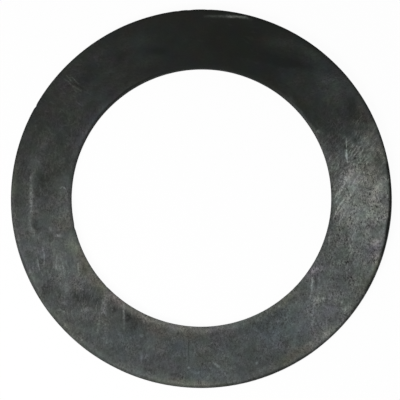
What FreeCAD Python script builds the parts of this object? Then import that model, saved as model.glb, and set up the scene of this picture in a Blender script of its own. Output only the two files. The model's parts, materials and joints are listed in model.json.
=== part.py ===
"""Flat ring gasket, cut in one stroke from a sheet of black rubber.

Millimetres, +Z up. The origin is the centre of the bore in the plane that the ring lies on.
The ring is one solid: its section below is turned once round the bore's axis.
"""

import FreeCAD
import Part
import os

# The pipe sets the bore, and the ring's width takes it out to the flange bolts
BORE_DIAMETER = 90.0
RING_WIDTH = 21.0
SHEET_THICKNESS = 3.0

# The die drags the top face down beside each cut
ROLL_WIDTH = 1.4
ROLL_DROP = 0.35

# Small radii where the cut walls meet the faces
TOP_CORNER_RADIUS = 0.25
UNDER_CORNER_RADIUS = 0.15

# Two places or directions this close are the same one
SAME = 1e-6

bore_radius = BORE_DIAMETER / 2
outer_radius = bore_radius + RING_WIDTH
wall_top = SHEET_THICKNESS - ROLL_DROP


def point(radius, height):
    """A point of the section, at that radius from the bore's axis."""
    return FreeCAD.Vector(radius, 0, height)


def rolled_edge(wall_radius, into_sheet):
    """The top face's drooping edge, an arc that leaves the face level and ends at the cut wall.

    into_sheet is 1 where the rubber lies outside the wall, as at the bore, and -1 where it lies inside.
    """
    droop_radius = (ROLL_WIDTH**2 + ROLL_DROP**2) / (2 * ROLL_DROP)
    centre = point(wall_radius + into_sheet * ROLL_WIDTH, SHEET_THICKNESS - droop_radius)
    start = point(wall_radius + into_sheet * ROLL_WIDTH, SHEET_THICKNESS)
    end = point(wall_radius, wall_top)
    halfway = (start + end) * 0.5 - centre
    halfway.normalize()
    middle = centre + halfway * droop_radius
    return Part.Arc(start, middle, end).toShape()


def section():
    """Half of the ring cut through its axis, as a face in the XZ plane."""
    edges = [
        Part.makeLine(point(bore_radius, 0), point(outer_radius, 0)),
        Part.makeLine(point(outer_radius, 0), point(outer_radius, wall_top)),
        rolled_edge(outer_radius, -1),
        Part.makeLine(
            point(outer_radius - ROLL_WIDTH, SHEET_THICKNESS),
            point(bore_radius + ROLL_WIDTH, SHEET_THICKNESS),
        ),
        rolled_edge(bore_radius, 1),
        Part.makeLine(point(bore_radius, wall_top), point(bore_radius, 0)),
    ]
    return Part.Face(Part.Wire(Part.__sortEdges__(edges)))


def corners_at(solid, height):
    """The circles at that height where a cut wall ends, at the bore and at the outside."""
    found = []
    for edge in solid.Edges:
        circle = edge.Curve
        if not isinstance(circle, Part.Circle):
            continue
        upright = abs(abs(circle.Axis.z) - 1) < SAME
        at_height = abs(circle.Center.z - height) < SAME
        at_a_wall = any(abs(circle.Radius - wall) < SAME for wall in (bore_radius, outer_radius))
        if upright and at_height and at_a_wall:
            found.append(edge)
    return found


def gasket_ring():
    """The whole gasket: the section turned round the bore, with its corners eased."""
    axis_foot = FreeCAD.Vector(0, 0, 0)
    axis = FreeCAD.Vector(0, 0, 1)
    ring = section().revolve(axis_foot, axis, 360)
    ring = ring.makeFillet(TOP_CORNER_RADIUS, corners_at(ring, wall_top))
    return ring.makeFillet(UNDER_CORNER_RADIUS, corners_at(ring, 0))


os.makedirs("parts", exist_ok=True)
gasket = gasket_ring()
gasket.exportStep("parts/gasket_ring.step")
print(f"gasket_ring: valid {gasket.isValid()}, {gasket.Volume:.1f} mm3, {len(gasket.Faces)} faces")
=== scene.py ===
"""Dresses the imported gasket: one flat ring, die-cut from black sheet rubber, scuffed and dusty with use.

Sizes and places here are in millimetres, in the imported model's own frame, and MM turns them into Blender's
metres where a mesh, a lamp or the camera is made. Bearings are in degrees, anticlockwise from +X as seen
from above.
"""

import json
import logging
import math
from abc import ABC, abstractmethod
from dataclasses import dataclass
from enum import Enum
from typing import ClassVar, Iterator

import bmesh
import bpy
from bmesh.types import BMesh
from bpy.types import Material, Node, NodeSocket, Object, ShaderNodeTree
from mathutils import Matrix, Vector, noise

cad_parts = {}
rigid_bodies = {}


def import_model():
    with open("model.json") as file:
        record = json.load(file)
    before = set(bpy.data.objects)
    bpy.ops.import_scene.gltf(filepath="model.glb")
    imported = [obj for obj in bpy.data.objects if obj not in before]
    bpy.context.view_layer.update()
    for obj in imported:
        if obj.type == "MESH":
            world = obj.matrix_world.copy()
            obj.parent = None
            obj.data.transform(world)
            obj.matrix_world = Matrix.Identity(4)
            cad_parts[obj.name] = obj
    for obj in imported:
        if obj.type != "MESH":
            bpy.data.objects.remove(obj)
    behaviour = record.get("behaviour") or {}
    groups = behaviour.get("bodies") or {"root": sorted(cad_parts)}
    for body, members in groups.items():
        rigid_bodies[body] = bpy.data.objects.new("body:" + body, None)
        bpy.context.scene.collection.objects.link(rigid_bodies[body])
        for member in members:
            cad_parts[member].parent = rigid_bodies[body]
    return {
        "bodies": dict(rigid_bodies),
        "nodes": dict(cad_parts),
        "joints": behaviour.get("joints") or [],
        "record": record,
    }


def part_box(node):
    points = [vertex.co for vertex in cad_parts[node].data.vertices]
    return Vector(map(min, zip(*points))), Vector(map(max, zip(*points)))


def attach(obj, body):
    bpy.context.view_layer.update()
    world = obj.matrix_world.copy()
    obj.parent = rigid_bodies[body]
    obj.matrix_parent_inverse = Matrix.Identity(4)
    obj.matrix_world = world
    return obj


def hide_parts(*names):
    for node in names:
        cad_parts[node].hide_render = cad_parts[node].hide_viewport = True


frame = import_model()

MM = 0.001
RING_NODE = "gasket_ring"
ROOT_BODY = "root"

log = logging.getLogger("gasket")

Colour = tuple[float, float, float]
Spot = tuple[float, float]


class Zone(Enum):
    """The ring's surfaces, each with a finish of its own. The value is the material's place on the mesh."""

    FACE = 0
    CUT_WALL = 1
    UNDERSIDE = 2


class Wall(Enum):
    """The two walls that the die cuts."""

    BORE = "bore"
    RIM = "rim"


class Cast(Enum):
    """The faint colours that bloom, oil and old dust give the rubber. The value multiplies its own."""

    OLIVE = (1.03, 1.01, 0.90)
    UMBER = (1.08, 1.00, 0.95)
    SLATE = (0.94, 1.00, 1.07)
    LILAC = (1.03, 0.98, 1.07)
    MOSS = (0.95, 1.02, 0.97)


class Kind(Enum):
    """The kinds of socket that a node group has."""

    NUMBER = "NodeSocketFloat"
    PLACE = "NodeSocketVector"


class Graph:
    """Short ways to add nodes to one shader tree and join them."""

    def __init__(self, tree: ShaderNodeTree) -> None:
        """Keeps the tree.

        Args:
            tree: the material's or the group's node tree.
        """
        self.tree = tree

    def node(self, kind: str, **settings: object) -> Node:
        """Adds one node.

        Args:
            kind: the node's type, without the ShaderNode in front.
            settings: values for the node's own properties.

        Returns:
            The new node.
        """
        made = self.tree.nodes.new("ShaderNode" + kind)
        for name, value in settings.items():
            setattr(made, name, value)
        return made

    def feed(self, socket: NodeSocket, value: object) -> None:
        """Joins a socket to the given one, or sets it where the value is a plain one.

        Args:
            socket: the socket that takes the value.
            value: an output socket, a number, a place or a colour.
        """
        if isinstance(value, NodeSocket):
            self.tree.links.new(value, socket)
        elif isinstance(value, tuple) and socket.type == "RGBA":
            socket.default_value = (*value[:3], 1.0)
        else:
            socket.default_value = value

    def math(self, operation: str, *values: object) -> NodeSocket:
        """One sum on numbers.

        Args:
            operation: the Math node's operation.
            values: sockets or numbers, in the node's order.

        Returns:
            The answer's socket.
        """
        made = self.node("Math", operation=operation)
        for socket, value in zip(made.inputs, values):
            self.feed(socket, value)
        return made.outputs[0]

    def limit(self, value: object) -> NodeSocket:
        """A number kept between 0 and 1.

        Two plain sums do it. The renderer puts off a node's own clamp until the end, and holds every value
        that waits for it, and it has room for only a few hundred.

        Args:
            value: the number.

        Returns:
            The answer's socket.
        """
        return self.math("MINIMUM", self.math("MAXIMUM", value, 0.0), 1.0)

    def vector(self, operation: str, *values: object) -> NodeSocket:
        """One sum on vectors.

        Args:
            operation: the Vector Math node's operation.
            values: sockets, places or numbers, in the node's order. A scale goes last.

        Returns:
            The answer's socket, a number for a length or a dot product.
        """
        made = self.node("VectorMath", operation=operation)
        sockets = [made.inputs[0], made.inputs["Scale"]] if operation == "SCALE" else made.inputs
        for socket, value in zip(sockets, values):
            self.feed(socket, value)
        plain_number = operation in {"LENGTH", "DOT_PRODUCT"}
        return made.outputs["Value" if plain_number else "Vector"]

    def northing(self, place: NodeSocket) -> NodeSocket:
        """How far a place lies along Y."""
        return self.vector("DOT_PRODUCT", place, (0.0, 1.0, 0.0))

    def about_zero(self, colour: NodeSocket, size: object) -> NodeSocket:
        """A noise's colour as a vector about zero.

        Args:
            colour: the noise's Color, about a half in each part.
            size: what a whole step of the noise stands for.

        Returns:
            The vector's socket.
        """
        return self.vector("SCALE", self.vector("SUBTRACT", colour, (0.5, 0.5, 0.5)), size)

    def ramp(self, value: object, low: object, high: object, at_low: object = 0.0,
             at_high: object = 1.0) -> NodeSocket:
        """A smooth step from one value to another.

        Args:
            value: what is looked at.
            low: where the step starts.
            high: where the step ends.
            at_low: the answer up to low.
            at_high: the answer from high on.

        Returns:
            The answer's socket.
        """
        made = self.node("MapRange", interpolation_type="SMOOTHSTEP", clamp=False)
        for socket, given in zip(made.inputs, (value, low, high, at_low, at_high)):
            self.feed(socket, given)
        return made.outputs[0]

    def noise(self, place: NodeSocket, scale: object, detail: float = 2.0, roughness: float = 0.5,
              distortion: float = 0.0) -> Node:
        """Fractal noise.

        Args:
            place: the coordinates.
            scale: cells for each millimetre.
            detail: how many finer layers are added.
            roughness: how strong the finer layers are.
            distortion: how much its forms are swirled.

        Returns:
            The noise node, for its Factor or its Color.
        """
        made = self.node("TexNoise", noise_dimensions="3D")
        self.feed(made.inputs["Vector"], place)
        self.feed(made.inputs["Scale"], scale)
        made.inputs["Detail"].default_value = detail
        made.inputs["Roughness"].default_value = roughness
        made.inputs["Distortion"].default_value = distortion
        return made

    def turned(self, place: NodeSocket, angle: object) -> NodeSocket:
        """The coordinates turned about the ring's axis.

        Args:
            place: the coordinates.
            angle: radians, clockwise from above, so that a direction at that bearing comes to lie along X.

        Returns:
            The turned coordinates.
        """
        made = self.node("VectorRotate", rotation_type="Z_AXIS", invert=True)
        self.feed(made.inputs["Vector"], place)
        self.feed(made.inputs["Angle"], angle)
        return made.outputs["Vector"]

    def mix(self, share: object, first: object, second: object, blend: str = "MIX") -> NodeSocket:
        """Blends two colours.

        Args:
            share: 0 gives the first, 1 the second or what the blend makes of both.
            first: colour or socket.
            second: colour or socket.
            blend: the Mix node's blend type.

        Returns:
            The blended colour's socket.
        """
        made = self.node("Mix", data_type="RGBA", blend_type=blend, clamp_factor=True)
        self.feed(made.inputs[0], share)
        self.feed(made.inputs[6], first)
        self.feed(made.inputs[7], second)
        return made.outputs[2]

    def total(self, start: object, values: Iterator[NodeSocket]) -> NodeSocket:
        """The sum of several numbers, added one by one as they are made.

        Args:
            start: what the sum starts from.
            values: the sockets to add.

        Returns:
            The sum's socket.
        """
        answer = start
        for value in values:
            answer = self.math("ADD", answer, value)
        return answer


class Effect(ABC):
    """One surface effect as a shader node group, built on first use and shared by the finishes.

    Each takes the position on the surface, then its own places and numbers, and gives one number.
    """

    title: ClassVar[str]
    places: ClassVar[tuple[str, ...]] = ()
    numbers: ClassVar[tuple[str, ...]]
    gives: ClassVar[str] = "Mask"

    @abstractmethod
    def wire(self, graph: Graph, given: dict[str, NodeSocket]) -> NodeSocket:
        """Builds the group's inside.

        Args:
            graph: the group's own tree.
            given: the group's inputs by name.

        Returns:
            What feeds the group's output.
        """

    def tree(self) -> ShaderNodeTree:
        """The group's tree, which the first call builds.

        Returns:
            The node group.
        """
        known = bpy.data.node_groups.get(self.title)
        if known:
            return known
        tree = bpy.data.node_groups.new(self.title, "ShaderNodeTree")
        takes = {name: Kind.PLACE for name in ("Position", *self.places)}
        takes.update({name: Kind.NUMBER for name in self.numbers})
        for name, kind in takes.items():
            tree.interface.new_socket(name, in_out="INPUT", socket_type=kind.value)
        tree.interface.new_socket(self.gives, in_out="OUTPUT", socket_type=Kind.NUMBER.value)
        entry = tree.nodes.new("NodeGroupInput")
        end = tree.nodes.new("NodeGroupOutput")
        given = {name: entry.outputs[name] for name in takes}
        tree.links.new(self.wire(Graph(tree), given), end.inputs[self.gives])
        return tree

    def place(self, graph: Graph, **values: object) -> NodeSocket:
        """Puts the effect in a material.

        Args:
            graph: the material's tree.
            values: what feeds each input, by its name in lower case with underscores.

        Returns:
            The effect's output.
        """
        made = graph.node("Group", node_tree=self.tree())
        for name, value in values.items():
            graph.feed(made.inputs[name.replace("_", " ").capitalize()], value)
        return made.outputs[0]


class SheetGrain(Effect):
    """The fine mottled grain of sheet rubber, from 0 in a pit to 1 on a peak."""

    title = "sheet grain"
    numbers = ("Size",)
    gives = "Grain"
    FINE = 2.3
    SWIRL = 0.7
    LOW, HIGH = 0.32, 0.68

    def wire(self, graph: Graph, given: dict[str, NodeSocket]) -> NodeSocket:
        """Adds two sizes of noise and spreads them over the whole range."""
        coarse_scale = graph.math("DIVIDE", 1.0, given["Size"])
        fine_scale = graph.math("MULTIPLY", coarse_scale, self.FINE)
        coarse = graph.noise(given["Position"], coarse_scale, distortion=self.SWIRL).outputs[0]
        fine = graph.noise(given["Position"], fine_scale).outputs[0]
        both = graph.math("MULTIPLY", graph.math("ADD", coarse, fine), 0.5)
        spread = graph.math("DIVIDE", graph.math("SUBTRACT", both, self.LOW), self.HIGH - self.LOW)
        return graph.limit(spread)


class Clouds(Effect):
    """Soft cloudy blotches, from 0 to 1."""

    title = "clouds"
    numbers = ("Size",)
    gives = "Cloud"
    LOW, HIGH = 0.3, 0.7

    def wire(self, graph: Graph, given: dict[str, NodeSocket]) -> NodeSocket:
        """Steps a rough noise between its usual lowest and highest values."""
        scale = graph.math("DIVIDE", 1.0, given["Size"])
        cloud = graph.noise(given["Position"], scale, detail=4.0, roughness=0.6).outputs[0]
        return graph.ramp(cloud, self.LOW, self.HIGH)


class Haze(Effect):
    """A soft patch with ragged borders, 1 in its middle and 0 well outside its reach."""

    title = "haze"
    places = ("Centre", "Along", "Across")
    numbers = ("Rag",)

    def wire(self, graph: Graph, given: dict[str, NodeSocket]) -> NodeSocket:
        """A bell round the centre. Along and across are its axes, each divided by its reach."""
        offset = graph.vector("SUBTRACT", given["Position"], given["Centre"])
        along = graph.vector("DOT_PRODUCT", offset, given["Along"])
        across = graph.vector("DOT_PRODUCT", offset, given["Across"])
        square = graph.math("MULTIPLY_ADD", along, along, graph.math("MULTIPLY", across, across))
        ragged = graph.math("ADD", graph.math("SQRT", square), given["Rag"])
        near = graph.math("MAXIMUM", ragged, 0.0)
        fall = graph.math("MULTIPLY", graph.math("MULTIPLY", near, near), -1.0)
        return graph.math("EXPONENT", fall)


class Scuff(Effect):
    """One rubbed stroke from a start to an end, bowed and tapered at its ends."""

    title = "scuff"
    places = ("Start", "End")
    numbers = ("Width", "Bow")
    TAPER = 0.6

    def wire(self, graph: Graph, given: dict[str, NodeSocket]) -> NodeSocket:
        """The distance from the bowed line, with a bell across it and a taper along it."""
        along = graph.vector("SUBTRACT", given["End"], given["Start"])
        offset = graph.vector("SUBTRACT", given["Position"], given["Start"])
        flat = graph.vector("MULTIPLY", offset, (1.0, 1.0, 0.0))
        reached = graph.vector("DOT_PRODUCT", flat, along)
        length = graph.vector("DOT_PRODUCT", along, along)
        share = graph.limit(graph.math("DIVIDE", reached, length))
        rest = graph.math("SUBTRACT", 1.0, share)
        hump = graph.math("MULTIPLY", graph.math("MULTIPLY", share, rest), 4.0)
        side = graph.vector("NORMALIZE", graph.vector("CROSS_PRODUCT", (0.0, 0.0, 1.0), along))
        bowed = graph.vector("SCALE", side, graph.math("MULTIPLY", hump, given["Bow"]))
        nearest = graph.vector("ADD", graph.vector("SCALE", along, share), bowed)
        gap = graph.vector("LENGTH", graph.vector("SUBTRACT", flat, nearest))
        across = graph.math("POWER", graph.math("DIVIDE", gap, given["Width"]), 2.0)
        body = graph.math("EXPONENT", graph.math("MULTIPLY", across, -1.0))
        taper = graph.math("POWER", graph.math("MAXIMUM", hump, 0.0), self.TAPER)
        return graph.math("MULTIPLY", body, taper)


class Strokes(Effect):
    """Fine rubbed strokes in one main direction, long, thin and wandering a little."""

    title = "strokes"
    numbers = ("Turn", "Length", "Pitch", "Share")
    WANDER_SCALE = 0.07
    WANDER = 9.0
    HIGHEST_CUT = 0.72
    CUT_RANGE = 0.25
    SOFTNESS = 0.12

    def wire(self, graph: Graph, given: dict[str, NodeSocket]) -> NodeSocket:
        """The peaks of a drawn-out noise. The more of them are to show, the lower it is cut."""
        wander = graph.noise(given["Position"], self.WANDER_SCALE).outputs["Color"]
        bend = graph.about_zero(wander, self.WANDER)
        local = graph.turned(graph.vector("ADD", given["Position"], bend), given["Turn"])
        drawn = graph.node("CombineXYZ")
        parts = graph.node("SeparateXYZ")
        graph.feed(parts.inputs[0], local)
        graph.feed(drawn.inputs[0], graph.math("DIVIDE", parts.outputs[0], given["Length"]))
        graph.feed(drawn.inputs[1], graph.math("DIVIDE", parts.outputs[1], given["Pitch"]))
        level = graph.noise(drawn.outputs[0], 1.0, detail=2.0, roughness=0.6).outputs[0]
        low = graph.math("MULTIPLY_ADD", given["Share"], -self.CUT_RANGE, self.HIGHEST_CUT)
        return graph.ramp(level, low, graph.math("ADD", low, self.SOFTNESS))


class Hairlines(Effect):
    """Thin lines that wander over the surface, mostly up and down."""

    title = "hairlines"
    numbers = ("Size", "Width")
    DRAWN = (1.0, 0.5, 1.0)

    def wire(self, graph: Graph, given: dict[str, NodeSocket]) -> NodeSocket:
        """Where a noise crosses its middle value."""
        drawn = graph.vector("MULTIPLY", given["Position"], self.DRAWN)
        scale = graph.math("DIVIDE", 1.0, given["Size"])
        level = graph.noise(drawn, scale, detail=1.5, distortion=0.6).outputs[0]
        gap = graph.math("ABSOLUTE", graph.math("SUBTRACT", level, 0.5))
        return graph.ramp(gap, given["Width"], 0.0)


class Specks(Effect):
    """Scattered small specks of dust or grit."""

    title = "specks"
    numbers = ("Spacing", "Size", "Share")
    SMALLEST = 0.4
    FULL_TO = 0.4

    def wire(self, graph: Graph, given: dict[str, NodeSocket]) -> NodeSocket:
        """A dot at the middle of some of a Voronoi pattern's cells, each of its own size."""
        cells = graph.node("TexVoronoi", voronoi_dimensions="3D", feature="F1")
        graph.feed(cells.inputs["Vector"], given["Position"])
        graph.feed(cells.inputs["Scale"], graph.math("DIVIDE", 1.0, given["Spacing"]))
        luck = graph.node("SeparateColor")
        graph.feed(luck.inputs[0], cells.outputs["Color"])
        chosen = graph.math("LESS_THAN", luck.outputs[0], given["Share"])
        gap = graph.math("MULTIPLY", cells.outputs["Distance"], given["Spacing"])
        size = graph.math("MULTIPLY", given["Size"], graph.math("ADD", luck.outputs[1], self.SMALLEST))
        dot = graph.ramp(graph.math("DIVIDE", gap, size), 1.0, self.FULL_TO)
        return graph.math("MULTIPLY", dot, chosen)


class EdgeBand(Effect):
    """A band beside one of the round edges, 1 at the edge and 0 past the band's width."""

    title = "edge band"
    numbers = ("Radius", "Width", "Rag")
    FULL_TO = 0.2

    def wire(self, graph: Graph, given: dict[str, NodeSocket]) -> NodeSocket:
        """How near the place is to a circle of that radius about the ring's axis."""
        flat = graph.vector("MULTIPLY", given["Position"], (1.0, 1.0, 0.0))
        gap = graph.math("ABSOLUTE", graph.math("SUBTRACT", graph.vector("LENGTH", flat), given["Radius"]))
        share = graph.math("ADD", graph.math("DIVIDE", gap, given["Width"]), given["Rag"])
        return graph.ramp(share, 1.0, self.FULL_TO)


@dataclass(frozen=True)
class Surface:
    """What the marks of one face are laid out on.

    Attributes:
        graph: the material's tree.
        place: the face's coordinates in millimetres, bent a little so that no outline is quite true.
        rag: a cloudy disturbance about 0, for ragged borders.
        speckle: the fine pattern that breaks strokes up, from 0 to 1.
        cloud: soft blotches, from 0 to 1.
    """

    graph: Graph
    place: NodeSocket
    rag: NodeSocket
    speckle: NodeSocket
    cloud: NodeSocket


@dataclass(frozen=True)
class Patch:
    """Where dust or bloom lies thicker, or has been wiped thinner.

    Attributes:
        centre: the middle.
        reach: half its length and half its width.
        turn: the bearing of its length.
        cover: how much dust it adds, below 0 where it takes dust away.
        ragged: how uneven its borders are.
    """

    centre: Spot
    reach: Spot
    turn: float = 0.0
    cover: float = 1.0
    ragged: float = 1.0

    def mask(self, face: Surface) -> NodeSocket:
        """The patch's own share of dust at each place."""
        graph = face.graph
        cosine, sine = math.cos(math.radians(self.turn)), math.sin(math.radians(self.turn))
        length, width = self.reach
        shape = Haze().place(
            graph,
            position=face.place,
            centre=(*self.centre, 0.0),
            along=(cosine / length, sine / length, 0.0),
            across=(-sine / width, cosine / width, 0.0),
            rag=graph.math("MULTIPLY", face.rag, self.ragged),
        )
        return graph.math("MULTIPLY", shape, self.cover)


@dataclass(frozen=True)
class Mark:
    """One stroke that something has rubbed or scratched into the face.

    Attributes:
        start: where it starts.
        end: where it ends.
        width: half of its width.
        cover: how much paler it is, below 0 where it is darker.
        bow: how far its middle bends to the left of the way from start to end.
        broken: how much the speckle breaks it up, from 0 to 1.
    """

    start: Spot
    end: Spot
    width: float
    cover: float
    bow: float = 0.0
    broken: float = 0.8

    def mask(self, face: Surface) -> NodeSocket:
        """The mark's own share of dust at each place."""
        graph = face.graph
        shape = Scuff().place(
            graph,
            position=face.place,
            start=(*self.start, 0.0),
            end=(*self.end, 0.0),
            width=self.width,
            bow=self.bow,
        )
        kept = graph.math("MULTIPLY_ADD", face.speckle, 2.0 * self.broken, 1.0 - self.broken)
        return graph.math("MULTIPLY", graph.math("MULTIPLY", shape, kept), self.cover)


@dataclass(frozen=True)
class RimWearAndShade:
    """A stretch of one of the round edges that is rubbed pale, or painted darker; most dark stretches are
    painted shade.

    Attributes:
        wall: which edge.
        bearing: the middle of the stretch.
        spread: half of its length, in millimetres.
        width: how far it reaches in from the edge.
        cover: how much dust it adds; below 0 it takes dust away and paints the edge darker.
    """

    wall: Wall
    bearing: float
    spread: float
    width: float
    cover: float
    RAGGED: ClassVar[float] = 0.5

    def mask(self, face: Surface, radii: dict[Wall, float]) -> NodeSocket:
        """The stretch's own share of dust at each place."""
        graph = face.graph
        radius = radii[self.wall]
        bearing = math.radians(self.bearing)
        middle = (radius * math.cos(bearing), radius * math.sin(bearing))
        stretch = Patch(middle, (self.spread, self.spread), cover=self.cover, ragged=self.RAGGED).mask(face)
        band = EdgeBand().place(graph, position=face.place, radius=radius, width=self.width, rag=face.rag)
        return graph.math("MULTIPLY", stretch, band)


@dataclass(frozen=True)
class Streaks:
    """An area of fine scratches that run in one main direction.

    Attributes:
        area: where they are, and how much paler they make the rubber.
        bearing: the direction that they run in.
        length: about how long one is.
        pitch: about how far apart they are.
        share: how many of them show, from 0 to 1.
    """

    area: Patch
    bearing: float
    length: float
    pitch: float
    share: float

    def mask(self, face: Surface) -> NodeSocket:
        """The scratches' own share of dust at each place."""
        graph = face.graph
        lines = Strokes().place(
            graph,
            position=face.place,
            turn=math.radians(self.bearing),
            length=self.length,
            pitch=self.pitch,
            share=self.share,
        )
        return graph.math("MULTIPLY", self.area.mask(face), lines)


@dataclass(frozen=True)
class Web:
    """An area of thin wandering hairlines.

    Attributes:
        area: where they are, and how much paler or darker they are.
        size: about how far apart they are.
        width: how thick they are, from 0 to 1.
    """

    area: Patch
    size: float
    width: float
    WIDEST: ClassVar[float] = 0.2

    def mask(self, face: Surface) -> NodeSocket:
        """The hairlines' own share of dust at each place."""
        graph = face.graph
        width = self.width * self.WIDEST
        lines = Hairlines().place(graph, position=face.place, size=self.size, width=width)
        broken = graph.math("MULTIPLY", lines, face.speckle)
        return graph.math("MULTIPLY", self.area.mask(face), broken)


@dataclass(frozen=True)
class Grit:
    """An area of small specks.

    Attributes:
        area: where they are, and how much paler or darker they are.
        spacing: about how far apart they could be.
        size: about how big one is.
        share: how many of them there are, from 0 to 1.
    """

    area: Patch
    spacing: float
    size: float
    share: float

    def mask(self, face: Surface) -> NodeSocket:
        """The specks' own share of dust at each place."""
        graph = face.graph
        specks = Specks().place(
            graph, position=face.place, spacing=self.spacing, size=self.size, share=self.share
        )
        return graph.math("MULTIPLY", self.area.mask(face), specks)


@dataclass(frozen=True)
class Tint:
    """A soft area with a colour cast.

    Attributes:
        cast: which cast.
        centre: the middle.
        reach: half its length and half its width.
        turn: the bearing of its length.
        share: how strong the cast is.
    """

    cast: Cast
    centre: Spot
    reach: Spot
    turn: float = 0.0
    share: float = 1.0

    def over(self, face: Surface, colour: NodeSocket) -> NodeSocket:
        """The colour with the cast laid over it."""
        area = Patch(self.centre, self.reach, self.turn, self.share).mask(face)
        return face.graph.mix(area, colour, self.cast.value, "MULTIPLY")


@dataclass(frozen=True)
class Nick:
    """A small bite out of one of the cut walls.

    Attributes:
        wall: which wall it is in.
        bearing: where it is round the ring.
        depth: how deep it goes.
        width: half of its width along the wall.
    """

    wall: Wall
    bearing: float
    depth: float
    width: float


@dataclass(frozen=True)
class Slant:
    """A stretch where the die cut a wall out of upright, so that its top lies further into the rubber.

    Attributes:
        wall: which wall it is in.
        bearing: the middle of the stretch.
        spread: half of its length, in degrees.
        depth: how far the wall's top is shifted against its foot.
        pivot: the height that keeps its place, as a share of the thickness.
    """

    wall: Wall
    bearing: float
    spread: float
    depth: float
    pivot: float


@dataclass(frozen=True)
class Crease:
    """A shallow groove across the face, where the sheet was once folded or dragged over an edge.

    Attributes:
        start: where it starts.
        end: where it ends.
        bow: how far its middle bends to the left.
        depth: how deep it is.
        width: half of its width.
    """

    start: Spot
    end: Spot
    bow: float
    depth: float
    width: float

    def drop(self, place: Vector) -> float:
        """How far the face drops at a place.

        Args:
            place: a point of the face.

        Returns:
            The drop, 0 away from the groove.
        """
        start = Vector(self.start)
        along = Vector(self.end) - start
        offset = place.xy - start
        share = min(max(offset.dot(along) / along.length_squared, 0.0), 1.0)
        hump = 4.0 * share * (1.0 - share)
        side = Vector((-along.y, along.x)).normalized()
        gap = (offset - along * share - side * self.bow * hump).length
        return self.depth * math.sqrt(hump) * math.exp(-((gap / self.width) ** 2))


RUBBER_BLACK: Colour = (0.0100, 0.0115, 0.0100)
DUST_GREY: Colour = (0.304, 0.327, 0.317)

# Where dust lies thicker on the top face than its even film, clockwise from the right. Each patch gives its
# middle, half its length and half its width, the bearing of its length, and how much dust it adds.
DUST = (
    Patch((56.0, 0.0), (14.5, 12.0), 80.0, 0.40),
    Patch((58.0, 18.0), (6.0, 6.5), 60.0, 0.12),
    Patch((60.0, -20.0), (12.0, 12.0), 70.0, 0.14),
    Patch((40.0, -40.0), (15.0, 13.0), 40.0, 0.125),
    Patch((4.0, -64.0), (20.0, 5.0), cover=0.04),
    Patch((-6.0, -64.9), (14.0, 0.9), -4.0, 0.04),
    Patch((-44.0, -25.0), (12.0, 9.0), -55.0, 0.05),
    Patch((-58.0, -12.0), (9.0, 12.0), 90.0, 0.035),
    Patch((-46.5, 0.0), (9.0, 4.0), 95.0, 0.06),
    Patch((-46.0, 30.0), (31.0, 18.0), 55.0, 0.044),
    Patch((46.0, 36.0), (17.0, 13.0), -50.0, 0.061),
)

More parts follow.
